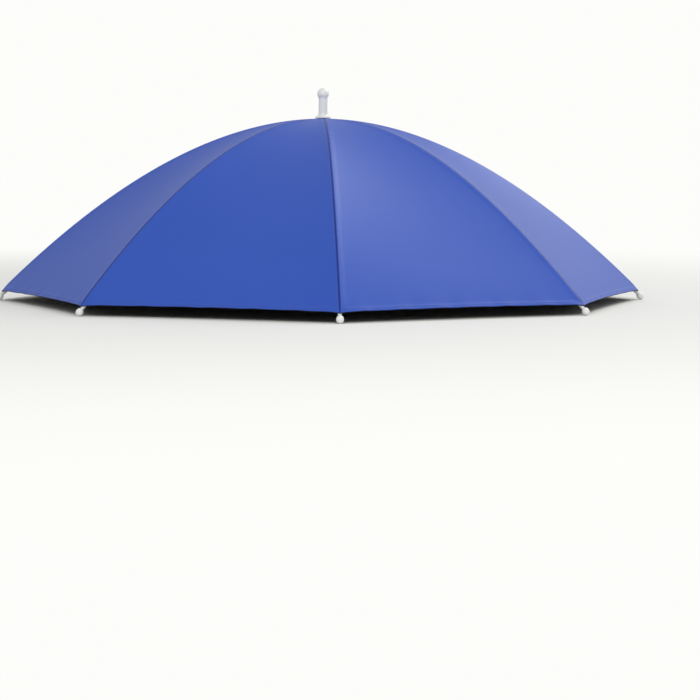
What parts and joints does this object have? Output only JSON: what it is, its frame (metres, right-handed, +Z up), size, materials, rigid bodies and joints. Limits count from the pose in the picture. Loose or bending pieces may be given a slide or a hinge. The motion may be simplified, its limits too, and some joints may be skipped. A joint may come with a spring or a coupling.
{
  "type": "umbrella hat",
  "caption": "Open umbrella hat: a shallow dome of sewn cloth panels on thin ribs, with an elastic headband held under it by bent legs.",
  "frame": {"origin": "on the floor that the rib tips rest on, under the middle of the hat", "axes": "+Z up through the finial, -Y towards the front rib and the wearer's brow"},
  "size_m": [0.6694, 0.6694, 0.2173],
  "materials": {
    "canopy_cloth": "plain nylon, royal blue outside and black coated inside",
    "elastic_band": "black woven elastic",
    "white_plastic": "moulded, satin gloss",
    "dark_steel": "black coated spring steel",
    "black_plastic": "moulded, matt",
    "grey_plastic": "moulded, satin"
  },
  "bodies": {
    "root": {"canopy": "canopy_cloth", "headband": "elastic_band", "finial": "white_plastic", "post": "dark_steel", "hub": "black_plastic", "runner": "black_plastic", "crown_plate": "black_plastic", "rib_1": "dark_steel", "rib_2": "dark_steel", "rib_3": "dark_steel", "rib_4": "dark_steel", "rib_5": "dark_steel", "rib_6": "dark_steel", "rib_7": "dark_steel", "rib_8": "dark_steel", "rib_tip_1": "white_plastic", "rib_tip_2": "white_plastic", "rib_tip_3": "white_plastic", "rib_tip_4": "white_plastic", "rib_tip_5": "white_plastic", "rib_tip_6": "white_plastic", "rib_tip_7": "white_plastic", "rib_tip_8": "white_plastic", "stretcher_1": "dark_steel", "stretcher_2": "dark_steel", "stretcher_3": "dark_steel", "stretcher_4": "dark_steel", "stretcher_5": "dark_steel", "stretcher_6": "dark_steel", "stretcher_7": "dark_steel", "stretcher_8": "dark_steel", "leg_1": "black_plastic", "leg_2": "black_plastic", "leg_3": "black_plastic", "leg_4": "black_plastic", "clip_1": "grey_plastic", "clip_2": "grey_plastic", "clip_3": "grey_plastic", "clip_4": "grey_plastic"}
  },
  "joints": []
}
